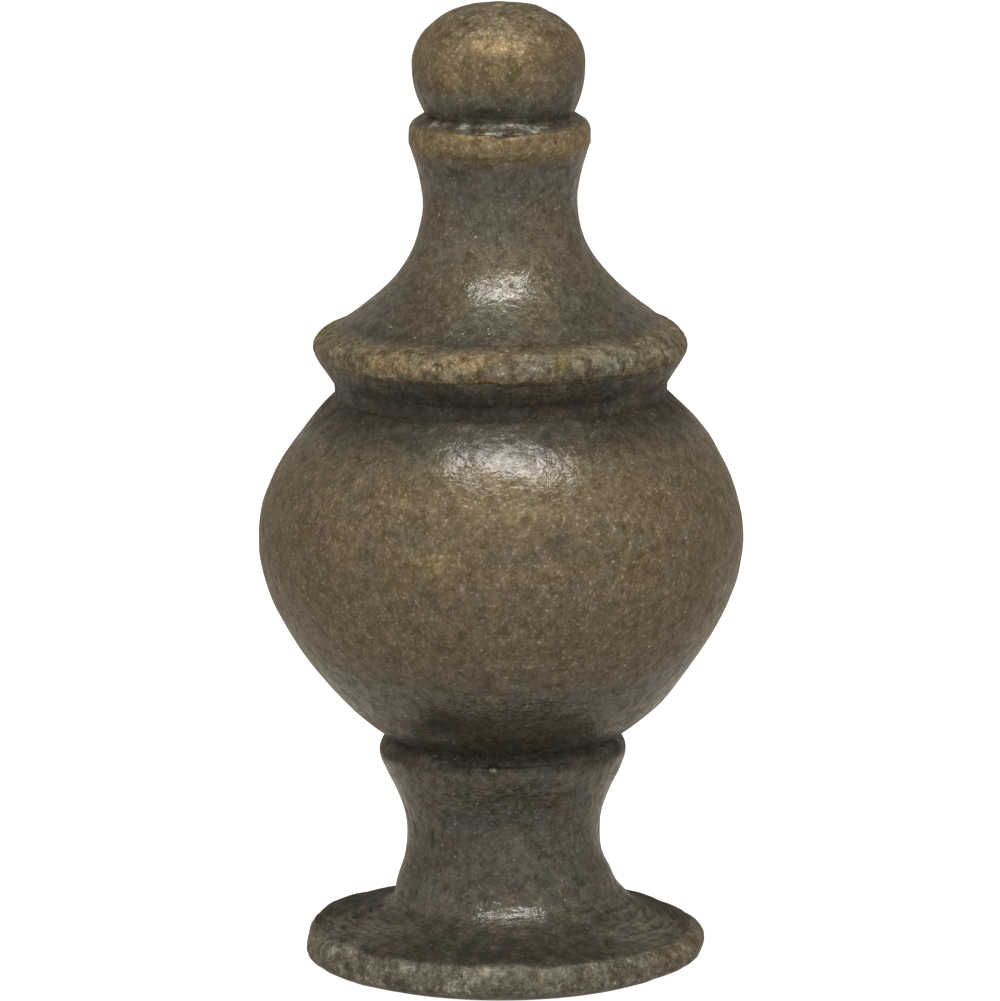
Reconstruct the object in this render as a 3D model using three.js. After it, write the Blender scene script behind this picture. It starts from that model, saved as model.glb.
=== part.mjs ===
// Lamp finial: an urn on a flared foot with a knob on top, cast and turned in one piece of brass.
// A tapped hole in the underside screws onto the threaded stud at the top of a lamp harp.
// Millimetres, +Z up, with the origin at the centre of the face that it stands on.
import * as THREE from "three";

// Foot: a thick round rim, and above it a cove that draws in to the waist.
const footRadius = 9.1;
const restRadius = 7.6; // edge of the flat face that it stands on
const rimLowerEdge = 0.67; // heights of the rim, from the rest face up
const rimBand = 0.43;
const rimUpperEdge = 0.98;
const rimRoundWidth = 1.1; // how far the rounded upper edge reaches in over the rim
const footCoveHeight = 4.16;

// Stem, from the waist up to the small bead under the belly.
const waistRadius = 4.45;
const stemHeight = 3.3;
const beadLowerRadius = 5.52;
const beadRadius = 5.66;
const beadLowerHeight = 0.55;
const beadUpperHeight = 0.72;
const lowerGrooveRadius = 5.3;

// Belly, widest a little above its middle.
const bellyRadius = 11.1;
const bellyLowerHeight = 9.25;
const bellyUpperHeight = 6.78;

// Groove over the belly, and the heavy ring that overhangs it.
const upperGrooveRadius = 7.55;
const upperGrooveHeight = 0.3;
const ringRadius = 8.53;
const ringUndersideHeight = 1.05;
const ringNoseDrop = 0.24; // how far the underside stops short of the ring's full radius
const ringNoseHeight = 0.66;
const ringBevelHeight = 1.12;
const ringBevelWidth = 1.24;

// Cap: a long cove from the ring up to the neck, and out again to the collar.
const neckRadius = 3.55;
const capHeight = 5.56;
const throatHeight = 2.6;
const collarRadius = 4.17;
const collarBand = 0.5;
const collarTopHeight = 0.94;
const knobGrooveRadius = 3.46;

// Knob, with a flat on its crown and a turning centre in the flat.
const knobRadius = 3.95;
const knobLowerHeight = 2.32;
const knobUpperHeight = 2.56;
const crownFlatRadius = 1.15;
const centreRadius = 0.44;
const centreDepth = 0.25;

// Tapped hole for a 1/4-27 stud, bored plain at the thread's outer diameter.
const threadDiameter = 6.35;
const holeClearance = 0.1; // on the diameter
const holeDepth = 9.5; // at full diameter
const holeChamfer = 0.35;
const drillPointAngle = 118;

// How each cove or swell bends, at its lower end and then at its upper end: the radius that it
// gains for each millimetre of height there, and the share of the stretch's height that keeps
// this slope.
const footCoveBend = [-5, 0.11, 0, 0.5];
const stemBend = [0, 0.41, 0.47, 0.29];
const bellyLowerBend = [1.62, 0.14, 0, 0.4];
const bellyUpperBend = [0, 0.39, -1.09, 0.23];
const capBend = [-1.39, 0.24, 0, 0.5];
const throatBend = [0, 0.26, 0.45, 0.12];
const knobLowerBend = [0.5, 0.33, 0, 0.36];
const knobUpperBend = [0, 0.56, -30, 0.015];

// How high up each rounded edge its two sides would meet, as a share of the edge's height.
const rimLowerCorner = 0.75;
const rimUpperCorner = 0.9;
const beadCorner = 0.5;
const ringNoseCorner = 0.5;
const ringBevelCorner = 0.6;
const collarTopCorner = 0.3;

const segments = 48; // around the axis

const point = (radius, height) => new THREE.Vector2(radius, height);

// A rounded edge between two points, bent towards a corner on the wider one's radius.
function rounded(from, to, cornerShare, steps) {
  const corner = point(Math.max(from.x, to.x), from.y + cornerShare * (to.y - from.y));
  return new THREE.QuadraticBezierCurve(from, corner, to).getPoints(steps).slice(1);
}

// A cove or a swell between two points. Both of its handles lie between the heights of its ends,
// so the outline always climbs.
function swept(from, to, [lowerSlope, lowerShare, upperSlope, upperShare], steps) {
  const height = to.y - from.y;
  const leave = lowerShare * height;
  const reach = upperShare * height;
  const first = point(from.x + lowerSlope * leave, from.y + leave);
  const second = point(to.x - upperSlope * reach, to.y - reach);
  return new THREE.CubicBezierCurve(from, first, second, to).getPoints(steps).slice(1);
}

// From the tip of the drill point down the hole's wall and out to its chamfered mouth.
function holeOutline() {
  const radius = (threadDiameter + holeClearance) / 2;
  const pointHeight = radius / Math.tan(THREE.MathUtils.degToRad(drillPointAngle / 2));
  return [
    point(0, holeDepth + pointHeight),
    point(radius, holeDepth),
    point(radius, holeChamfer),
    point(radius + holeChamfer, 0),
  ];
}

// The flat rest face, the rim with its two rounded edges, and the cove up to the waist.
function footOutline() {
  const rest = point(restRadius, 0);
  const low = point(footRadius, rimLowerEdge);
  const high = point(footRadius, low.y + rimBand);
  const top = point(footRadius - rimRoundWidth, high.y + rimUpperEdge);
  const waist = point(waistRadius, top.y + footCoveHeight);
  return [
    rest,
    ...rounded(rest, low, rimLowerCorner, 4),
    high,
    ...rounded(high, top, rimUpperCorner, 5),
    ...swept(top, waist, footCoveBend, 10),
  ];
}

// The stem above the waist, the bead, and the groove between bead and belly.
function stemOutline(waist) {
  const beadLow = point(beadLowerRadius, waist.y + stemHeight);
  const bead = point(beadRadius, beadLow.y + beadLowerHeight);
  const groove = point(lowerGrooveRadius, bead.y + beadUpperHeight);
  return [
    ...swept(waist, beadLow, stemBend, 6),
    ...rounded(beadLow, bead, beadCorner, 2),
    ...rounded(bead, groove, beadCorner, 3),
  ];
}

function bellyOutline(groove) {
  const widest = point(bellyRadius, groove.y + bellyLowerHeight);
  const shoulder = point(upperGrooveRadius, widest.y + bellyUpperHeight);
  return [
    ...swept(groove, widest, bellyLowerBend, 10),
    ...swept(widest, shoulder, bellyUpperBend, 8),
  ];
}

// The groove's upright wall, the ring's sloping underside, its nose and the bevel over it.
function ringOutline(shoulder) {
  const grooveTop = point(upperGrooveRadius, shoulder.y + upperGrooveHeight);
  const noseLow = point(ringRadius - ringNoseDrop, grooveTop.y + ringUndersideHeight);
  const nose = point(ringRadius, noseLow.y + ringNoseHeight);
  const bevel = point(ringRadius - ringBevelWidth, nose.y + ringBevelHeight);
  return [
    grooveTop,
    noseLow,
    ...rounded(noseLow, nose, ringNoseCorner, 3),
    ...rounded(nose, bevel, ringBevelCorner, 4),
  ];
}

// The cap's cove, the throat, the collar and the groove between collar and knob.
function capOutline(bevel) {
  const neck = point(neckRadius, bevel.y + capHeight);
  const collarLow = point(collarRadius, neck.y + throatHeight);
  const collarHigh = point(collarRadius, collarLow.y + collarBand);
  const groove = point(knobGrooveRadius, collarHigh.y + collarTopHeight);
  return [
    ...swept(bevel, neck, capBend, 8),
    ...swept(neck, collarLow, throatBend, 4),
    collarHigh,
    ...rounded(collarHigh, groove, collarTopCorner, 4),
  ];
}

// The knob, the flat on its crown and the turning centre.
function knobOutline(groove) {
  const widest = point(knobRadius, groove.y + knobLowerHeight);
  const crown = point(crownFlatRadius, widest.y + knobUpperHeight);
  return [
    ...swept(groove, widest, knobLowerBend, 4),
    ...swept(widest, crown, knobUpperBend, 8),
    point(centreRadius, crown.y),
    point(0, crown.y - centreDepth),
  ];
}

// The whole outline, each stretch starting where the one before it ends.
function finialOutline() {
  const outline = [...holeOutline(), ...footOutline()];
  for (const stretch of [stemOutline, bellyOutline, ringOutline, capOutline, knobOutline]) {
    outline.push(...stretch(outline.at(-1)));
  }
  return outline;
}

const antiqueBrass = new THREE.MeshStandardMaterial({
  name: "antique_brass",
  color: 0x5a4f3a,
  roughness: 0.42,
  metalness: 0.85,
});

const turned = new THREE.LatheGeometry(finialOutline(), segments);
turned.rotateX(Math.PI / 2); // a lathe turns about Y, and the finial stands along Z
const finial = new THREE.Mesh(turned, antiqueBrass);
finial.name = "finial";

const group = new THREE.Group();
group.add(finial);

export default group;
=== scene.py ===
import functools
import math

import bpy
import numpy as np
from mathutils import Euler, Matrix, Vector


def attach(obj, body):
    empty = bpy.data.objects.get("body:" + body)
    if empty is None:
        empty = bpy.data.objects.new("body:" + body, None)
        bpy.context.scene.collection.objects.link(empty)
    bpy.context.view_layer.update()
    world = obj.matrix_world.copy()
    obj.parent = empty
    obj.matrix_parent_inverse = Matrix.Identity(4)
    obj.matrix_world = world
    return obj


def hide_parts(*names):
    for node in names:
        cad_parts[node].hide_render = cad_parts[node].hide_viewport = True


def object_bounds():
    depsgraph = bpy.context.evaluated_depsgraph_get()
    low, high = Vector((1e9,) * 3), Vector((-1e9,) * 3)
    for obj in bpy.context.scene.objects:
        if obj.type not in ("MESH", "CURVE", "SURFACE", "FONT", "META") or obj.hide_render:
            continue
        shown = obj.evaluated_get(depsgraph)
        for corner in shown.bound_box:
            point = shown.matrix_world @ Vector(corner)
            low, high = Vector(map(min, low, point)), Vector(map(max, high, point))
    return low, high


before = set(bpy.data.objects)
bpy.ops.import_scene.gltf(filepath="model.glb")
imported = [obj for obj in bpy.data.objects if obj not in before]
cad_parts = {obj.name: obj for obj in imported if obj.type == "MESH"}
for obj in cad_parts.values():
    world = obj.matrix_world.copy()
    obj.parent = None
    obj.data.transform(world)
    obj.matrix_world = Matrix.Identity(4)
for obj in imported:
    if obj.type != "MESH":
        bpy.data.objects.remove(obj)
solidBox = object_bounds()
mm = 0.001
solidTop = solidBox[1][2] / mm
solidReach = solidBox[1][0] / mm


# Outline and casting

finial = {
    "columns": 352,  # round the outside
    "boreColumns": 88,  # round the tapped hole, a quarter of the outside's
    "waviness": 0.03,  # how far the casting wanders from a true turning
    "wavinessSize": 7.0,
    "ripple": 0.02,  # orange peel left by the mould
    "rippleSize": 0.9,
    "edgeRoughness": 0.06,  # on the ring, the collar and the rim, where the edges are knocked
    "edgeRoughnessSize": 0.75,
    "edgePlateau": 0.2,  # the roughness is cut off flat at this height, so that it bites inwards
    "bandWander": 0.07,  # how far the borders of wear and dirt stray up and down
    "bandWanderSize": 2.2,
    "bandWanderFineSize": 0.8,
    "markRaggedness": 0.6,  # how uneven the borders of the marks are
    "knockRaggedness": 0.5,
    "raggednessFloor": 0.2,  # keeps the most ragged places from spreading without end
    "streaksInFront": 0.1,  # share of the lathe's streaks at front and back; the two sides have them all
    "centreDrop": 0.01,  # how much deeper the middle of the turning centre is than its edge
    "sharpEdge": 38,  # degrees; two faces that meet at more than this show a crisp edge
    "seed": 27,
}

# The outside from the mouth of the hole to the crown. Each stretch ends at (radius, height). Its bend is
# None for a straight one, one number for a rounded edge (how high up its two sides would meet), or four
# for a cove or a swell (the radius gained per millimetre of height and the share of the height that keeps
# this slope, below and above). The last number is how many rows it has.
outlineStart = (3.7, 0.0)
outlineStretches = [
    ((7.65, 0.0), None, 6),  # rest face
    ((9.1, 0.67), 0.5, 11),  # rim, lower edge
    ((9.1, 1.1), None, 3),
    ((8.0, 2.08), 0.9, 12),  # rim, upper edge
    ((4.45, 6.24), (-9.5, 0.06, 0, 0.55), 24),  # cove of the foot
    ((5.52, 9.54), (0, 0.41, 0.47, 0.29), 13),  # stem
    ((5.66, 10.09), 0.5, 6),  # bead
    ((5.3, 10.81), 0.5, 8),
    ((11.1, 20.06), (1.62, 0.14, 0, 0.4), 34),  # belly
    ((7.6, 26.62), (0, 0.39, -1.09, 0.23), 26),
    ((7.64, 27.14), None, 3),  # groove over the belly
    ((8.44, 28.46), None, 8),  # underside of the ring
    ((8.55, 28.85), 0.3, 6),
    ((7.4, 29.87), 0.6, 13),  # bevel of the ring
    ((3.55, 35.53), (-1.45, 0.25, 0, 0.5), 24),  # cap
    ((4.17, 38.13), (0, 0.26, 0.45, 0.12), 10),  # throat
    ((4.18, 38.75), None, 5),  # collar
    ((4.02, 39.12), 0.6, 5),
    ((3.41, 39.5), None, 4),
    ((3.95, 41.89), (0.5, 0.33, 0, 0.36), 12),  # knob
    ((1.15, 44.45), (0, 0.56, -30, 0.015), 20),
    ((0.44, 44.45), None, 4),  # flat of the crown
    ((0.1, 44.25), 0.3, 4),  # turning centre
]

# The tapped hole: a right-hand thread for a 1/4-27 stud, and the cone that the drill left.
bore = {
    "mouthRadius": 3.575,
    "majorRadius": 3.2,
    "minorRadius": 2.72,
    "pitch": 25.4 / 27,
    "depth": 9.5,
    "runOut": 1.0,  # the last turns of the tap fade over this length
    "flankSteepness": 1.3,  # past 1, crest and root of the thread are flat
    "crestFlat": 0.15,
    "rowsPerTurn": 8,
    "coneHeight": 1.6,
    "coneRows": 5,
    "worn": 0.3,  # all over the hole
    "grime": 0.5,
}

# Knocks in the edges: azimuth in degrees from the front towards the right, then height, half width, half
# height and depth in mm.
knocks = [
    (-4, 28.6, 0.55, 0.35, 0.16),
    (-9, 28.9, 0.8, 0.3, 0.07),
    (18, 28.5, 0.4, 0.35, 0.12),
    (9, 28.4, 0.6, 0.3, 0.09),
    (47, 28.9, 1.1, 0.5, 0.14),
    (58, 28.5, 0.6, 0.4, 0.12),
    (78, 29.4, 1.6, 0.6, 0.2),
    (-62, 28.9, 1.2, 0.5, 0.08),
    (128, 28.8, 0.9, 0.5, 0.14),
    (-140, 28.7, 0.7, 0.4, 0.12),
    (175, 29.2, 1.3, 0.5, 0.12),
    (-75, 7.6, 0.35, 0.8, 0.06),
    (16, 18.9, 0.35, 0.45, 0.05),
    (33, 11.7, 0.5, 0.3, 0.06),
    (-25, 1.6, 1.0, 0.35, 0.1),
    (12, 1.7, 0.8, 0.3, 0.08),
    (66, 1.6, 1.2, 0.4, 0.1),
    (-100, 1.5, 1.1, 0.4, 0.1),
    (150, 1.6, 1.4, 0.4, 0.12),
    (-8, 38.8, 0.6, 0.2, 0.05),
    (105, 38.5, 0.8, 0.3, 0.07),
    (-150, 38.4, 0.7, 0.3, 0.06),
]

# Smaller knocks strewn all round the edges: how many, their height, how far they stray from it, and the
# greatest depth. Half width, half height and share of that depth are random between two values, and the
# share is squared, so that most are shallow.
strewnEdges = [
    (45, 28.55, 0.08, 0.13),  # ring, lower edge
    (35, 29.75, 0.15, 0.08),  # ring, upper edge
    (50, 1.7, 0.12, 0.1),  # rim, upper edge
    (20, 0.7, 0.2, 0.07),  # rim, lower edge
    (22, 39.0, 0.06, 0.07),  # collar
]
strewnWidth = (0.2, 0.75)
strewnHeight = (0.15, 0.35)
strewnDepth = (0.2, 1.0)

# Where the two sides of the casting aren't true to the outline: height, how far the place reaches up and
# down, and how far the left and the right side stand out there.
unevenPlaces = [
    (0.4, 0.4, 0.03, -0.05),  # lower edge of the rim
    (1.1, 0.4, 0.0, 0.15),
    (1.95, 0.35, 0.17, -0.15),  # upper edge of the rim
    (3.15, 0.55, -0.42, 0.1),  # cove of the foot
    (4.3, 0.6, 0.02, 0.17),
    (8.8, 1.3, 0.05, 0.05),  # stem
    (12.4, 1.3, 0.03, 0.13),  # underside of the belly
    (17.8, 3.2, 0.08, 0.0),  # belly
    (20.8, 1.6, 0.02, -0.06),
    (24.8, 0.9, -0.06, 0.07),  # shoulder
    (28.3, 0.8, 0.09, 0.04),  # ring
    (30.0, 0.5, -0.04, 0.05),
    (31.6, 1.7, -0.03, 0.13),  # cap
    (41.2, 1.6, 0.08, 0.01),  # knob
]

# Bands round the casting, from the foot up: lower border, upper border, how softly each fades, and
# strength.
bands = {
    # Where handling rubs the patina back to brass.
    "worn": [
        (0.5, 1.78, 0.15, 0.02, 0.25),  # rim
        (14.5, 24.9, 0.9, 0.4, 0.4),  # belly
        (28.4, 29.86, 0.015, 0.05, 0.65),  # ring
        (31.5, 36.5, 0.5, 0.5, 0.2),  # neck
        (37.75, 39.12, 0.12, 0.015, 0.7),  # collar
        (40.8, 44.6, 0.3, 0.1, 0.6),  # knob
    ],
    # Where it is darker: black oxide left in the hollows, and painted shade in the same hollows and
    # under the overhangs, where shade falls; under the rim it is a painted contact shadow.
    "grime": [
        (-1.0, 0.45, 0.1, 0.08, 0.5),  # under the rim: painted contact shadow
        (1.88, 3.0, 0.02, 0.22, 0.75),  # bottom of the foot's cove: dark oxide and painted shade
        (9.95, 12.4, 0.08, 0.35, 0.52),  # groove under the belly: dark oxide and painted shade under the belly
        (25.4, 26.6, 0.3, 0.03, 0.64),  # edge of the belly's top: dark oxide and painted shade under the ring
        (26.6, 27.6, 0.03, 0.15, 0.68),  # groove over the belly
        (27.6, 28.38, 0.15, 0.02, 0.45),  # underside of the ring: dark oxide and painted shade
        (29.98, 30.3, 0.04, 0.06, 0.35),  # crease over the ring
        (39.2, 40.2, 0.05, 0.3, 0.48),  # groove under the knob
    ],
    # Where a grey-green bloom dulls it.
    "bloom": [
        (0.2, 1.9, 0.1, 0.03, 0.86),  # rim
        (1.9, 2.9, 0.05, 0.3, 0.3),  # top of the foot
        (28.4, 29.9, 0.03, 0.05, 0.55),  # ring
        (43.5, 45.0, 0.3, 0.1, 0.55),  # crown
    ],
    # Where the streaks of the lathe show.
    "turned": [
        (1.9, 3.8, 0.05, 0.4, 2.2),  # top of the foot
        (9.9, 11.2, 0.1, 0.3, 0.6),  # bead
        (25.6, 28.4, 0.3, 0.05, 0.6),  # top of the belly and groove
        (43.9, 45.0, 0.1, 0.1, 0.2),  # crown
    ],
}
steepest = 50  # past this exponent a band's border is as good as all or nothing

# Marks that this casting alone has: azimuth and height as for the knocks, half width and half height in
# mm, and what the mark adds to the wear, to the grime and painted shade, and to the bloom.
marks = [
    (-37, 29.15, 1.1, 0.4, 0.3, 0, -0.4),  # brassy stretches of the ring
    (-9, 29.45, 1.4, 0.25, 0.35, 0, -0.4),
    (-6, 28.55, 1.3, 0.12, 0.3, 0, -0.4),
    (19, 29.3, 0.3, 0.25, 0.6, 0, -0.6),
    (-3, 29.2, 0.3, 0.12, 0, 0.5, 0),  # dark dents in them
    (1, 29.1, 0.15, 0.2, 0, 0.5, 0),
    (9, 29.25, 1.1, 0.4, -0.4, 0.1, 0.5),  # grey-green stretches of the ring
    (38, 29.1, 2.2, 0.5, -0.2, 0.1, 0.4),
    (-68, 29.0, 1.6, 0.5, 0, 0, 0.3),
    (47, 27.1, 1.2, 0.45, 0, -0.3, 0.6),  # scuffs in the groove
    (-74, 27.1, 1.7, 0.6, 0, -0.3, 0.5),
    (-46, 25.86, 0.65, 0.1, 0, 0, 0.5),  # scuffs on the shoulder and the cap
    (-37, 31.7, 1.1, 0.25, 0, -0.1, 0.25),
    (-33, 23.8, 0.2, 0.45, 0.5, 0, 0),  # brassy places of the belly
    (-26, 23.4, 0.15, 0.47, 0.4, 0, 0),
    (-16, 20.8, 1.6, 0.6, 0.35, 0, 0),
    (28, 19.7, 0.2, 0.17, 0.6, 0, 0),
    (12, 20.4, 1.5, 0.3, 0.15, 0, 0),
    (2, 21.0, 1.2, 0.28, -0.2, 0.3, 0),  # dark places of the belly
    (14, 21.5, 0.7, 0.4, -0.2, 0.35, 0),
    (15, 26.06, 0.45, 0.17, -0.2, 0.6, 0),
    (-20, 12.7, 1.4, 0.75, -0.1, 0.6, 0),
    (37, 11.8, 1.3, 0.35, 0, -0.5, 0.4),  # pale places under the belly
    (-26, 11.7, 1.9, 0.35, 0, -0.35, 0.4),
    (-5, 10.27, 0.2, 0.15, 0, -0.6, 3.0),  # chalky chips on the bead
    (-3.5, 10.1, 0.12, 0.1, 0, -0.6, 1.8),
    (1, 10.36, 2.1, 0.05, 0, 0.8, -0.2),  # scored line on the bead
    (-37, 9.3, 1.2, 0.6, 0.2, 0, 0),  # stem
    (5, 6.9, 0.5, 0.6, 0.2, 0, 0),
    (-65, 6.6, 0.3, 0.4, 0, 0.6, 0),
    (-47, 6.6, 0.2, 0.5, 0, 0.6, 0),
    (70, 1.5, 3.5, 0.5, 0.35, 0, -0.4),  # rim, to the right
    (-62, 2.35, 3.2, 0.5, 0.1, -0.6, 0.2),  # ridges on the foot, at the two sides
    (62, 2.35, 3.2, 0.5, 0.1, -0.6, 0.2),
    (-9, 39.14, 0.8, 0.06, 0, -0.5, 3.2),  # painted highlight along the collar's top edge, in the chalky colour
    (5, 39.14, 0.7, 0.06, 0, -0.5, 3.2),
    (25, 39.15, 0.5, 0.05, 0, -0.5, 3.0),
    (-19, 38.85, 0.5, 0.2, 0.4, 0, 0),
    (3, 39.42, 1.8, 0.1, 0, -0.5, 1.5),  # grit under the knob
    (30, 39.3, 0.5, 0.1, 0, -0.5, 1.7),
    (-27, 39.35, 0.4, 0.1, 0, -0.4, 1.3),
    (-52, 39.3, 0.6, 0.2, 0, -0.6, 1.3),
    (-8, 40.0, 0.7, 0.25, -0.3, 0.6, 0),
    # Knob. The first mark is a brassy place at the front where the highlight falls: wear, and also a painted
    # highlight that brightens it.
    (-1, 43.1, 1.1, 0.5, 0.35, 0, 0),  # knob
    (-34, 41.6, 0.8, 0.5, 0.3, 0, 0),
    (60, 41.6, 1.5, 1.2, -0.3, 0.1, 0),
]

# Large odd factors that scramble the number of a lattice corner, and how many bits are kept.
cornerFactors = np.array([73856093, 19349663, 83492791])
seedFactor = 2654435761
firstFactor = 1274126177
secondFactor = 2246822519
keptBits = 0xFFFFFFFF
noiseLevels = 65536


# Value noise from -1 to 1: a random value at each corner of a lattice of cubes, blended in between by the
# smooth curve 6 t^5 - 15 t^4 + 10 t^3.
def latticeNoise(points, cell, seed):
    scaled = points / cell
    corner = np.floor(scaled).astype(np.int64)
    part = scaled - corner
    blend = part * part * part * (part * (part * 6 - 15) + 10)
    total = np.zeros(len(points))
    for offset in np.ndindex(2, 2, 2):
        mixed = np.bitwise_xor.reduce((corner + offset) * cornerFactors, axis=1)
        mixed = mixed ^ seed * seedFactor
        mixed = (mixed & keptBits) * firstFactor & keptBits
        mixed = (mixed ^ mixed >> 15) * secondFactor & keptBits
        value = (mixed ^ mixed >> 13 & noiseLevels - 1) % noiseLevels / ((noiseLevels - 1) / 2) - 1
        weight = np.prod(np.where(offset, blend, 1 - blend), axis=1)
        total += weight * value
    return total


# A coarse noise and a fine one that is half as strong.
def twoNoises(points, coarse, fine, seed):
    return latticeNoise(points, coarse, seed) + 0.5 * latticeNoise(points, fine, seed + 1)


# A stretch of the outline as rows of (radius, height): a straight line, or a Bezier curve of degree two
# or three, which weights the ends and the handles by the terms of (t + (1 - t)) to that power.
def stretchRows(start, end, bend, rows):
    (startRadius, startHeight), (endRadius, endHeight) = start, end
    rise = endHeight - startHeight
    if bend is None:
        controls = [start, end]
    elif isinstance(bend, tuple):
        lowerSlope, lowerShare, upperSlope, upperShare = bend
        leave, reach = lowerShare * rise, upperShare * rise
        lowerHandle = (startRadius + lowerSlope * leave, startHeight + leave)
        upperHandle = (endRadius - upperSlope * reach, endHeight - reach)
        controls = [start, lowerHandle, upperHandle, end]
    else:
        controls = [start, (max(startRadius, endRadius), startHeight + bend * rise), end]
    degree = len(controls) - 1
    along = np.arange(1, rows + 1) / rows
    weights = [math.comb(degree, k) * along**k * (1 - along) ** (degree - k) for k in range(degree + 1)]
    return np.stack(weights, axis=1) @ np.array(controls)


# The whole outline, each stretch starting where the one before ends.
def outlineRows():
    rows = [np.array([outlineStart])]
    for end, bend, count in outlineStretches:
        rows.append(stretchRows(tuple(rows[-1][-1]), end, bend, count))
    return np.concatenate(rows)


# Points from radius, angle and height: radius times cosine, radius times sine, height.
def aroundAxis(radius, theta, height):
    return np.stack([radius * np.cos(theta), radius * np.sin(theta), height], axis=-1).reshape(-1, 3)


# The sum of the bands; each rises at its lower border and falls at its upper one by a logistic curve.
def bandStrength(height, borders):
    total = 0
    for low, high, lowFade, highFade, strength in borders:
        rise = 1 / (1 + np.exp(np.clip((low - height) / lowFade, -steepest, steepest)))
        fall = 1 / (1 + np.exp(np.clip((height - high) / highFade, -steepest, steepest)))
        total = total + strength * rise * fall
    return total


# How strong a spot is at each point: a bell curve of the distance from its middle, round the casting in
# half widths and up it in half heights. The exponent is uneven, so that the border is ragged.
def spotStrength(radius, theta, height, azimuth, middle, halfWidth, halfHeight, ragged):
    turn = (theta - math.radians(azimuth - 90) + math.pi) % (2 * math.pi) - math.pi
    span = turn * radius / halfWidth
    rise = (height - middle) / halfHeight
    return np.exp(-(span**2 + rise**2) * ragged)


# Small knocks strewn along an edge, each with a random place, size and depth.
def strewnKnocks(random, count, height, stray, deepest):
    azimuths = random.uniform(-180, 180, count)
    heights = height + random.normal(0, stray, count)
    halfWidths = random.uniform(*strewnWidth, count)
    halfHeights = random.uniform(*strewnHeight, count)
    depths = random.uniform(*strewnDepth, count) ** 2 * deepest
    return list(zip(azimuths, heights, halfWidths, halfHeights, depths))


# The outside as a grid: the outline turned about the axis and moved along its own normal, in by waviness,
# ripple and knocks, and in or out at the uneven places.
def outsideSurface():
    rows = outlineRows()
    columns = finial["columns"]
    radius = np.repeat(rows[:, 0], columns)
    height = np.repeat(rows[:, 1], columns)
    theta = np.tile(np.linspace(0, 2 * math.pi, columns, endpoint=False), len(rows))
    points = aroundAxis(radius, theta, height)
    seed = finial["seed"]
    rough = twoNoises(points, finial["edgeRoughnessSize"], finial["edgeRoughnessSize"] / 2, seed + 2)

    wander = twoNoises(points, finial["bandWanderSize"], finial["bandWanderFineSize"], seed + 4)
    level = height + finial["bandWander"] * wander
    values = {name: bandStrength(level, borders) for name, borders in bands.items()}
    values["turned"] *= finial["streaksInFront"] + (1 - finial["streaksInFront"]) * np.cos(theta) ** 4
    ragged = np.maximum(finial["raggednessFloor"], 1 + finial["markRaggedness"] * rough)
    for *place, wornMore, grimeAndShadeMore, bloomMore in marks:
        share = spotStrength(radius, theta, height, *place, ragged)
        values["worn"] += wornMore * share
        values["grime"] += grimeAndShadeMore * share
        values["bloom"] += bloomMore * share

    wave = latticeNoise(points, finial["wavinessSize"], seed)
    ripple = latticeNoise(points, finial["rippleSize"], seed + 1)
    move = finial["waviness"] * (wave - 1) / 2 + finial["ripple"] * (ripple - 1)
    edge = np.clip(values["worn"] ** 2 + values["bloom"].clip(0) ** 2, 0, 1)
    plateau = finial["edgePlateau"]
    move += finial["edgeRoughness"] * edge * (np.minimum(rough, plateau) - plateau)
    random = np.random.default_rng(seed)
    strewn = [knock for row in strewnEdges for knock in strewnKnocks(random, *row)]
    ragged = np.maximum(finial["raggednessFloor"], 1 + finial["knockRaggedness"] * rough)
    for *place, depth in knocks + strewn:
        move -= depth * spotStrength(radius, theta, height, *place, ragged)
    toTheRight = np.cos(theta)
    for middle, reach, left, right in unevenPlaces:
        share = np.exp(-(((height - middle) / reach) ** 2)) * toTheRight**2
        move += share * np.where(toTheRight < 0, left, right)
    move[height <= 0] = 0  # the rest face stays flat

    tangent = np.gradient(rows, axis=0)
    tangent /= np.linalg.norm(tangent, axis=1)[:, None]
    points[:, 0] += np.repeat(tangent[:, 1], columns) * move * np.cos(theta)
    points[:, 1] += np.repeat(tangent[:, 1], columns) * move * np.sin(theta)
    points[:, 2] = np.clip(points[:, 2] - np.repeat(tangent[:, 0], columns) * move, 0, solidTop)
    outward = np.hypot(points[:, 0], points[:, 1])
    points[:, :2] *= np.minimum(1, solidReach / outward)[:, None]
    travelled = np.concatenate([[0], np.cumsum(np.linalg.norm(np.diff(rows, axis=0), axis=1))])
    values["travelled"] = np.repeat(travelled, columns)
    return points, values


# The thread: the radius swings between minor and major with the phase of height over pitch less the turn,
# which climbs the right-hand way. The mouth's chamfer cuts it away, and the cone of the drill closes it.
def boreSurface():
    turns = bore["depth"] / bore["pitch"]
    heights = np.linspace(bore["depth"], 0, round(turns * bore["rowsPerTurn"]) + 1)
    angle = np.linspace(0, 2 * math.pi, finial["boreColumns"], endpoint=False)
    height, theta = np.meshgrid(heights, angle, indexing="ij")
    phase = (height / bore["pitch"] - theta / (2 * math.pi)) % 1
    flank = np.clip(abs(2 * phase - 1) * bore["flankSteepness"] - bore["crestFlat"], 0, 1)
    flank *= np.clip((bore["depth"] - height) / bore["runOut"], 0, 1)
    radius = bore["minorRadius"] + (bore["majorRadius"] - bore["minorRadius"]) * flank
    radius = np.maximum(radius, bore["mouthRadius"] - height)
    wall = aroundAxis(radius, theta, height)

    share, theta = np.meshgrid(np.arange(1, bore["coneRows"]) / bore["coneRows"], angle, indexing="ij")
    cone = aroundAxis(bore["minorRadius"] * share, theta, bore["depth"] + bore["coneHeight"] * (1 - share))
    tip = np.array([[0, 0, bore["depth"] + bore["coneHeight"]]])
    return np.concatenate([tip, cone, wall])


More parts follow.
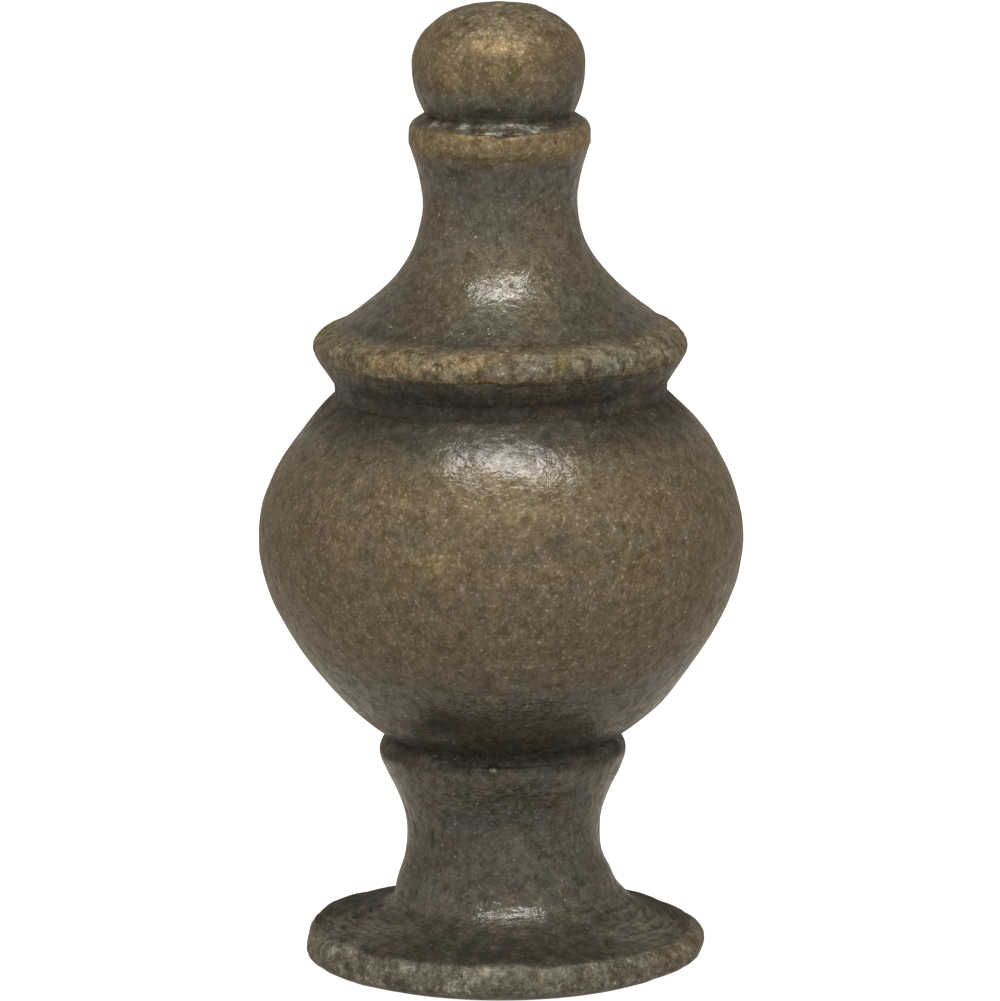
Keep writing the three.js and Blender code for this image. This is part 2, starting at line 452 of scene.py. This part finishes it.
# Quads between the rows of a grid that closes round the axis, as corner numbers starting at first.
def gridFaces(first, rowCount, columnCount):
    row, column = np.meshgrid(np.arange(rowCount - 1), np.arange(columnCount), indexing="ij")
    after = (column + 1) % columnCount
    corners = [row * columnCount + column, row * columnCount + after, (row + 1) * columnCount + after]
    corners.append((row + 1) * columnCount + column)
    return first + np.stack(corners, axis=-1).reshape(-1, 4)


# Triangles from a ring of few points to a ring of four times as many, fanned out from each of the few.
def seamFaces(innerFirst, outerFirst, innerCount):
    few = np.arange(innerCount)
    nextFew = innerFirst + (few + 1) % innerCount
    here = innerFirst + few
    many = [outerFirst + (4 * few + k) % (4 * innerCount) for k in range(5)]
    fans = [
        (here, many[1], many[0]),
        (here, many[2], many[1]),
        (here, nextFew, many[2]),
        (nextFew, many[3], many[2]),
        (nextFew, many[4], many[3]),
    ]
    return np.concatenate([np.stack(fan, axis=1) for fan in fans])


# Triangles from a ring to the one point on the axis that closes it.
def poleFaces(pole, ringFirst, count, up):
    ring = np.arange(count)
    after = ringFirst + (ring + 1) % count
    here = ringFirst + ring
    middle = np.full(count, pole)
    return np.stack([here, after, middle] if up else [middle, after, here], axis=1)


def buildFinial():
    outside, attributes = outsideSurface()
    inside = boreSurface()
    columns = finial["columns"]
    few = finial["boreColumns"]
    crown = outside[-columns:, 2].mean() - finial["centreDrop"]
    points = np.concatenate([inside, outside, [[0, 0, crown]]])
    outsideFirst = len(inside)
    boreRows = (len(inside) - 1) // few
    faces = [
        *poleFaces(0, 1, few, False).tolist(),
        *gridFaces(1, boreRows, few).tolist(),
        *seamFaces(outsideFirst - few, outsideFirst, few).tolist(),
        *gridFaces(outsideFirst, len(outside) // columns, columns).tolist(),
        *poleFaces(len(points) - 1, len(points) - 1 - columns, columns, True).tolist(),
    ]
    mesh = bpy.data.meshes.new("finial")
    mesh.from_pydata((points * mm).tolist(), [], faces)
    mesh.shade_smooth()
    mesh.set_sharp_from_angle(angle=math.radians(finial["sharpEdge"]))
    for name, values in attributes.items():
        allValues = np.concatenate([np.full(len(inside), bore.get(name, 0.0)), values, values[-1:]])
        mesh.attributes.new(name, "FLOAT", "POINT").data.foreach_set("value", allValues.astype(np.float32))
    mesh.validate()
    piece = bpy.data.objects.new("finial_casting", mesh)
    bpy.context.scene.collection.objects.link(piece)
    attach(piece, "root")
    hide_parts("finial")
    print("finial:", len(mesh.polygons), "faces,", len(mesh.vertices), "points")
    return piece


# Material

brass = {
    "patinaOlive": "#4b4638",
    "patinaBrown": "#524838",
    "rubbed": "#7f6c4b",
    "bare": "#a08450",
    "fleck": "#b9b2a0",  # also the chalky chips and the painted highlight on the collar's edge; the dots are partly painted glints
    "bloom": "#646154",
    # The dark of the grime, and of the painted shade in the hollows and under the overhangs.
    "grime": "#231f19",
    "darkest": 0.01,
    "deepestMottling": -0.11,  # keeps the mottling from ending in black spots
    "grainMiddle": 0.5,  # the mean of the grain, which lightens and darkens nothing
    # Pale dots, which are pale specks and also painted glints.
    "dotAndGlintShare": 0.7,
    "poreShare": 0.4,  # how dark the pores are
    "bloomKnock": 0.4,  # how much bloom counts beside wear where the edges are cracked
    "darkenedDullness": 1.4,  # how much the darkening (grime, pores, cracks and painted shade) counts beside bloom where the lacquer is dulled
    "metallic": (0.7, 0.25),  # clean, and under bloom and the darkening of grime and painted shade
    "roughness": (0.6, 0.52),  # patina, and where it is thin
    "bloomRoughness": 0.25,
    "specular": 0.3,
    "coatRoughness": 0.16,
    "coatWorn": (1.0, 0.45),  # share of the lacquer that is left: patina, and rubbed places
    "coatDull": (1.0, 0.05),  # clean, and under bloom and the darkening of grime and painted shade
    "coatChipped": (0.35, 1.0),  # in the chips, and beside them
}

# Noises in the brass: size in mm, how many times it is halved for finer ones, and how strong each of
# these is next to the one before.
noises = {
    "cloud": (3.0, 2, 0.5),  # broad patches of browner and greener patina
    "warmth": (0.8, 2, 0.6),  # patches of thinner patina
    "grain": (0.6, 3, 0.85),  # mottling, nearly as strong in the finest size as in this one
    "chip": (0.5, 4, 0.75),  # breaks in the lacquer
    "patch": (0.9, 5, 0.8),  # patches of bare metal and of bloom on the edges
    "fleck": (0.2, 2, 0.7),
    "peel": (0.35, 1, 0.5),
    "pit": (0.13, 1, 0.5),
}

# Short scratches of bare metal where the tumbling cut through, along two directions. The real ones are finer;
# these are about two pixels across, so that they show.
scratches = {"width": 0.1, "length": 0.35, "turns": [(0.3, 0.2, 0), (0.2, 1.4, 0.9)]}

# Marks of the lathe, across and along.
streaks = {"width": 0.22, "length": 1.6, "detail": 3, "fineness": 0.6}

# Round spots: the spacing of the cells they lie in, in mm, the share of the cells that stay empty, and
# the largest spot and its soft border as shares of the spacing.
# The pale dots: pale specks, and also painted glints.
paleDotsAndGlints = (0.55, 0.5, 0.14, 0.07)
pores = (0.5, 0.75, 0.28, 0.12)  # small holes that gas left in the casting

# Heights of the relief in mm.
reliefHeights = {
    "peel": 0.027,
    "pit": 0.012,
    "pore": 0.012,
    "streak": 0.008,  # everywhere
    "chatter": 0.06,  # where the lathe chattered
    "bloom": 0.2,  # rough skin on the edges
    "worn": 0.15,
}

# How a pattern or an attribute is read: the two values that it is read between, and what they become.
readings = {
    "cloud": (0.38, 0.62, 0, 1),
    "thinPatina": (0.3, 0.7, 0.8, 1.2),
    "rubbed": (0, 1, 0, 1),
    "patchyBare": (0.3, 0.7, -0.2, 0.2),
    "fleckyBare": (0.3, 0.7, -0.4, 0.4),
    "bare": (0.65, 1.1, 0, 0.5),
    "patchyBloom": (0.38, 0.62, 0.2, 1.4),
    "bloom": (0.1, 0.9, 0, 0.75),
    "chippedBloom": (0.4, 0.62, 0.55, 1.5),
    "chalkAndEdgeHighlight": (1.0, 1.8, 0, 0.8),
    "scratch": (0.62, 0.8, 0, 0.35),
    "fleck": (0.58, 0.72, 0, 0.45),
    "fleckByWear": (0, 0.5, 0.5, 0.9),
    "streakLight": (0.42, 0.58, -0.3, 0.3),
    "mottlingStrength": (0.6, 1.2, 1.5, 3.2),  # fuller on the edges than on the patina
    "patchLight": (0.46, 0.54, -0.16, 0.16),
    "paleness": (0.3, 0.7, -0.02, 0.02),
    "patchyGrime": (0.3, 0.65, 1.2, 0.75),
    "knocked": (0.6, 0.9, 0, 0.8),
    "crack": (0.4, 0.35, 0, 1),
    "grimeAndShadeShare": (0.1, 1.0, 0, 0.9),
    # What these become is named with the relief and the brass.
    "wornSkin": (0.45, 1.0),
    "clean": (0, 1),
    "thin": (0.3, 0.7),
    "handled": (0.05, 0.45),
    "dull": (0, 0.7),
    "chipped": (0.4, 0.55),
}


# Turns an sRGB hex code to linear red, green, blue and a full alpha.
def linearColour(code):
    channels = [int(code[k : k + 2], 16) / 255 for k in (1, 3, 5)]
    return [c / 12.92 if c <= 0.04045 else ((c + 0.055) / 1.055) ** 2.4 for c in channels] + [1.0]


# Adds one node and gives back its first output, or the one that is asked for. Settings are the node's own
# properties. Values fill its inputs in order, and named ones by name or number; each is a value or
# another node's output.
def addNode(tree, kind, settings, *values, named=None, output=0):
    node = tree.nodes.new("ShaderNode" + kind)
    for name, value in settings.items():
        setattr(node, name, value)
    for name, value in [*enumerate(values), *(named or {}).items()]:
        if isinstance(value, bpy.types.NodeSocket):
            tree.links.new(value, node.inputs[name])
        else:
            node.inputs[name].default_value = value
    return node.outputs[output] if node.outputs else None


# Settings that many nodes share.
times = {"operation": "MULTIPLY"}
plus = {"operation": "ADD"}
minus = {"operation": "SUBTRACT"}
larger = {"operation": "MAXIMUM"}
clamped = {"clamp": True}
coloured = {"data_type": "RGBA"}


# Antique brass, cast and turned, blackened in a bath, then tumbled so that the high places come back to
# metal, under a thin lacquer that handling has taken off the edges. The eye sees a dark olive brown,
# softly mottled and peppered with fine pale flecks, some of them painted glints, warm and dull on the edges,
# black in the grooves from oxide and painted shade, with whitish highlights that the wrinkled surface breaks
# up.
def antiqueBrass():
    material = bpy.data.materials.new("antique_brass_blackened_and_tumbled")
    material.use_nodes = True
    tree = material.node_tree
    tree.nodes.clear()
    node = functools.partial(addNode, tree)
    place = node("TexCoord", {}, output="Object")
    names = ("worn", "grime", "bloom", "turned", "travelled")
    attributes = [node("Attribute", {"attribute_name": name}, output="Fac") for name in names]
    worn, grime, bloom, turned, travelled = attributes

    pattern = {}
    for name, (size, detail, fineness) in noises.items():
        links = {"Vector": place, "Scale": 1 / (size * mm), "Detail": detail, "Roughness": fineness}
        pattern[name] = node("TexNoise", {}, named=links)

    # Noise drawn out along one direction, so that what stands out of it are short strokes.
    strokes = []
    for turn in scratches["turns"]:
        aimed = node("Mapping", {"vector_type": "TEXTURE"}, named={"Vector": place, "Rotation": turn})
        stretch = (1, 1, scratches["width"] / scratches["length"])
        drawn = node("Mapping", {"vector_type": "POINT"}, named={"Vector": aimed, "Scale": stretch})
        links = {"Vector": drawn, "Scale": 1 / (scratches["width"] * mm), "Detail": 1, "Roughness": 0.5}
        strokes.append(node("TexNoise", {}, named=links))
    scratched = node("Math", larger, *strokes)

    # Round spots in some of the cells of a Voronoi pattern: the larger a cell's chance, the larger its spot.
    spots = []
    for spacing, empty, largest, fade in (paleDotsAndGlints, pores):
        distance = node("TexVoronoi", {}, named={"Vector": place, "Scale": 1 / (spacing * mm)})
        chance = node("SeparateColor", {}, distance.node.outputs["Color"])
        size = node("MapRange", clamped, chance, empty, 1, 0, largest)
        spots.append(node("MapRange", clamped, node("Math", minus, size, distance), 0, fade))
    paleDotAndGlint, pore = spots

    # Streaks that run round the axis: short across, along the way travelled up the outline, and long around.
    share = streaks["width"] / streaks["length"]
    around = node("Mapping", {}, named={"Vector": place, "Scale": (share, share, 0)})
    across = node("CombineXYZ", {}, named={"Z": node("Math", times, travelled, mm)})
    links = {"Vector": node("VectorMath", plus, around, across), "Scale": 1 / (streaks["width"] * mm)}
    links |= {"Detail": streaks["detail"], "Roughness": streaks["fineness"]}
    streak = node("TexNoise", {}, named=links)

    # Which readings each pattern has.
    read = {}
    readingNames = {
        "cloud": ["cloud"],
        "warmth": ["thinPatina", "patchyGrime"],
        "grain": ["paleness"],
        "chip": ["chippedBloom"],
        "patch": ["patchyBare", "patchyBloom", "patchLight", "crack"],
        "fleck": ["fleckyBare", "fleck"],
    }
    for source, names in readingNames.items():
        for name in names:
            read[name] = node("MapRange", clamped, pattern[source], *readings[name])

    # Shares of each colour, from 0 to 1.
    rubbed = node("MapRange", clamped, node("Math", times, worn, read["thinPatina"]), *readings["rubbed"])
    broken = node("Math", plus, read["patchyBare"], read["fleckyBare"])
    bare = node("MapRange", clamped, node("Math", plus, worn, broken), *readings["bare"])
    bloomed = node("MapRange", clamped, node("Math", times, bloom, read["patchyBloom"]), *readings["bloom"])
    # Chalky chips and grit, and the painted highlight along the collar's top edge.
    chalkAndHighlight = node("MapRange", clamped, node("Math", times, bloom, read["chippedBloom"]), *readings["chalkAndEdgeHighlight"])
    scratch = node("MapRange", clamped, scratched, *readings["scratch"])
    byWear = node("MapRange", clamped, worn, *readings["fleckByWear"])
    fleckedAndGlinting = node("Math", times, node("Math", larger, scratch, read["fleck"]), byWear)
    # The pale dots are pale specks and also painted glints.
    fleckedAndGlinting = node("Math", larger, fleckedAndGlinting, node("Math", times, paleDotAndGlint, brass["dotAndGlintShare"]))
    # The darkening: grime and dark oxide, with painted shade in the hollows and under the overhangs, then
    # pores and cracks.
    unevenGrimeAndShade = node("Math", times, grime, read["patchyGrime"])
    darkened = node("MapRange", clamped, unevenGrimeAndShade, *readings["grimeAndShadeShare"])
    darkened = node("Math", larger, darkened, node("Math", times, pore, brass["poreShare"]))
    knock = node("Math", plus, worn, node("Math", times, bloom, brass["bloomKnock"]))
    knocked = node("MapRange", clamped, knock, *readings["knocked"])
    darkened = node("Math", larger, darkened, node("Math", times, read["crack"], knocked))

    # The patina, then what lies over it, then lighter and darker places, then on top of all the darkening of
    # grime, pores, cracks and painted shade.
    ends = {6: linearColour(brass["patinaOlive"]), 7: linearColour(brass["patinaBrown"])}
    colour = node("Mix", coloured, read["cloud"], named=ends, output=2)
    layers = [(rubbed, "rubbed"), (bare, "bare"), (bloomed, "bloom"), (chalkAndHighlight, "fleck"), (fleckedAndGlinting, "fleck")]
    for share, name in layers:
        ends = {6: colour, 7: linearColour(brass[name])}
        colour = node("Mix", coloured, share, named=ends, output=2)
    streakLight = node("Math", times, turned, node("MapRange", clamped, streak, *readings["streakLight"]))
    contrast = node("MapRange", clamped, node("Math", plus, worn, bloom), *readings["mottlingStrength"])
    mottling = node("Math", minus, pattern["grain"], brass["grainMiddle"])
    mottling = node("Math", larger, mottling, brass["deepestMottling"])
    mottling = node("Math", plus, node("Math", times, mottling, contrast), 1)
    patchLight = node("Math", times, bloom, read["patchLight"])
    light = node("Math", plus, mottling, node("Math", plus, streakLight, patchLight))
    colour = node("VectorMath", {"operation": "SCALE"}, colour, named={"Scale": light})
    colour = node("VectorMath", plus, colour, read["paleness"])
    colour = node("VectorMath", larger, colour, [brass["darkest"]] * 3)
    ends = {6: colour, 7: linearColour(brass["grime"])}
    colour = node("Mix", coloured, darkened, named=ends, output=2)

    # Relief in mm.
    wornSkin = node("MapRange", clamped, worn, *readings["wornSkin"], 0, reliefHeights["worn"])
    skin = node("Math", plus, node("Math", times, bloom, reliefHeights["bloom"]), wornSkin)
    chatter = node("Math", times, turned, reliefHeights["chatter"])
    furrow = node("Math", times, node("Math", plus, chatter, reliefHeights["streak"]), streak)
    peel = node("Math", times, pattern["peel"], reliefHeights["peel"])
    pit = node("Math", times, pattern["pit"], reliefHeights["pit"])
    hole = node("Math", times, pore, reliefHeights["pore"])
    relief = node("Math", minus, node("Math", plus, peel, pit), hole)
    rough = node("Math", plus, furrow, node("Math", times, skin, pattern["patch"]))
    relief = node("Math", plus, relief, rough)
    bump = node("Bump", {}, named={"Strength": 1, "Distance": mm, "Height": relief})

    # Metal under the patina, duller where bloom and the darkening of grime and painted shade lie on it, and
    # the lacquer where it is left.
    covered = node("Math", plus, darkened, bloomed)
    metallic = node("MapRange", clamped, covered, *readings["clean"], *brass["metallic"])
    thin = node("MapRange", clamped, pattern["warmth"], *readings["thin"], *brass["roughness"])
    roughness = node("Math", plus, thin, node("Math", times, bloomed, brass["bloomRoughness"]))
    dull = node("Math", plus, bloomed, node("Math", times, darkened, brass["darkenedDullness"]))
    dull = node("MapRange", clamped, dull, *readings["dull"], *brass["coatDull"])
    handled = node("MapRange", clamped, worn, *readings["handled"], *brass["coatWorn"])
    chipped = node("MapRange", clamped, pattern["chip"], *readings["chipped"], *brass["coatChipped"])
    coat = node("Math", times, node("Math", times, handled, dull), chipped)
    links = {"Base Color": colour, "Metallic": metallic, "Roughness": roughness, "Coat Weight": coat}
    links |= {"Specular IOR Level": brass["specular"], "Coat Roughness": brass["coatRoughness"]}
    links |= {"Normal": bump, "Coat Normal": bump}
    shader = node("BsdfPrincipled", {}, named=links)
    node("OutputMaterial", {}, shader)
    return material


# Studio, in metres

studio = {
    "cameraPlace": (-0.00008, -0.4460, 0.1079),
    "cameraPitch": 10.953,  # degrees below level
    "cameraRoll": 0.33,
    "lens": 358.1,  # millimetres, as the sensor
    "sensor": 36.0,
    "nearest": 0.01,
    "surroundFront": 0.95,
    "surroundBackHigh": 0.33,  # behind, above the horizon
    "surroundBackLow": 0.6,  # behind, below it, where a pale table goes on
    "surroundBackTint": "#fff2de",
    "surroundOverhead": 0.45,  # share of the light that is left straight above
    "surroundBelow": 0.87,  # and straight below
    "horizon": (-0.4, -0.1),  # where low turns to high, as the sine of the elevation
    "horizonTilt": (-0.3, 0.3, -0.05, 0.05),  # the horizon stands lower to the left than to the right
    "overhead": (0.35, 0.95),  # where the dimming overhead starts and ends
    "below": (-0.7, 0.0),  # and where the dimming below ends and starts
    "floorSize": 4.0,
    "floorDrop": 0.02 * mm,  # keeps the paper clear of the rest face
    "floorGrey": 0.35,
    "floorRoughness": 0.9,
    "floorGlow": 1.0,
}

# Oval softboxes: azimuth from the front towards the right, elevation, distance, width, height, brightness
# of the face, and how many degrees the left end is turned up.
softboxes = [
    ("key", 5.5, 67.0, 0.6, 0.5, 0.15, 15.0, 10),
    ("left", -80, 25, 0.9, 0.8, 0.7, 0.35, 0),
    ("right", 80, 25, 0.9, 0.8, 0.7, 0.27, 0),
]


# A lamp of even brightness over an oval gives off pi times its brightness times its area.
def addSoftbox(name, azimuth, elevation, distance, width, height, brightness, roll):
    light = bpy.data.lights.new("softbox_" + name, "AREA")
    light.shape = "ELLIPSE"
    light.size = width
    light.size_y = height
    light.energy = brightness * math.pi * (math.pi / 4 * width * height)
    box = bpy.data.objects.new(light.name, light)
    turn, tilt = math.radians(azimuth - 90), math.radians(elevation)
    direction = Vector((math.cos(tilt) * math.cos(turn), math.cos(tilt) * math.sin(turn), math.sin(tilt)))
    middle = Vector((0, 0, solidBox[1][2] / 2))
    box.location = middle + direction * distance
    aim = direction.to_track_quat("Z", "Y").to_matrix()
    box.rotation_euler = (aim @ Euler((0, 0, math.radians(-roll))).to_matrix()).to_euler()
    bpy.context.scene.collection.objects.link(box)


# The surround: bright and white on the camera's side, dim and warmer behind, and dimmer overhead and below.
def buildSurround():
    world = bpy.data.worlds.new("white_surround")
    world.use_nodes = True
    tree = world.node_tree
    tree.nodes.clear()
    node = functools.partial(addNode, tree)
    direction = node("TexCoord", {}, output="Generated")
    sideways, depth, height = node("SeparateXYZ", {}, direction).node.outputs
    behind = node("MapRange", clamped, depth, -1, 1, 0, 1)
    level = node("Math", minus, height, node("MapRange", clamped, sideways, *studio["horizonTilt"]))
    backLevels = (studio["surroundBackLow"], studio["surroundBackHigh"])
    backLevel = node("MapRange", clamped, level, *studio["horizon"], *backLevels)
    frontShare = node("Math", times, node("Math", minus, 1, behind), studio["surroundFront"])
    strength = node("Math", plus, frontShare, node("Math", times, behind, backLevel))
    overhead = node("MapRange", clamped, height, *studio["overhead"], 1, studio["surroundOverhead"])
    below = node("MapRange", clamped, height, *studio["below"], studio["surroundBelow"], 1)
    strength = node("Math", times, strength, node("Math", times, overhead, below))
    ends = {6: (1, 1, 1, 1), 7: linearColour(studio["surroundBackTint"])}
    colour = node("Mix", coloured, behind, named=ends, output=2)
    node("OutputWorld", {}, node("Background", {}, colour, strength))
    bpy.context.scene.world = world


# White paper that glows by itself, so that it meets the eye as plain white without a shadow.
def buildFloor():
    half, drop = studio["floorSize"] / 2, studio["floorDrop"]
    corners = [(-half, -half, -drop), (half, -half, -drop), (half, half, -drop), (-half, half, -drop)]
    mesh = bpy.data.meshes.new("floor")
    mesh.from_pydata(corners, [], [(0, 1, 2, 3)])
    floor = bpy.data.objects.new("floor", mesh)
    material = bpy.data.materials.new("white_paper")
    material.use_nodes = True
    shader = material.node_tree.nodes["Principled BSDF"]
    shader.inputs["Base Color"].default_value = [studio["floorGrey"]] * 3 + [1]
    shader.inputs["Roughness"].default_value = studio["floorRoughness"]
    shader.inputs["Emission Color"].default_value = (1, 1, 1, 1)
    shader.inputs["Emission Strength"].default_value = studio["floorGlow"]
    mesh.materials.append(material)
    floor.visible_glossy = False  # the metal mirrors the surround in its place
    floor.visible_diffuse = False
    bpy.context.scene.collection.objects.link(floor)


def buildCamera():
    lens = bpy.data.cameras.new("camera")
    lens.lens = studio["lens"]
    lens.sensor_width = studio["sensor"]
    lens.clip_start = studio["nearest"]
    camera = bpy.data.objects.new("camera", lens)
    camera.location = studio["cameraPlace"]
    aim = Euler((math.radians(90 - studio["cameraPitch"]), 0, 0)).to_matrix()
    roll = Euler((0, 0, math.radians(-studio["cameraRoll"]))).to_matrix()
    camera.rotation_euler = (aim @ roll).to_euler()
    bpy.context.scene.collection.objects.link(camera)
    bpy.context.scene.camera = camera


buildCamera()
buildSurround()
buildFloor()
for softbox in softboxes:
    addSoftbox(*softbox)
bpy.context.scene.view_settings.view_transform = "Standard"
print("studio: camera, surround, floor and softboxes")

casting = buildFinial()
casting.data.materials.append(antiqueBrass())
print("material: antique brass")
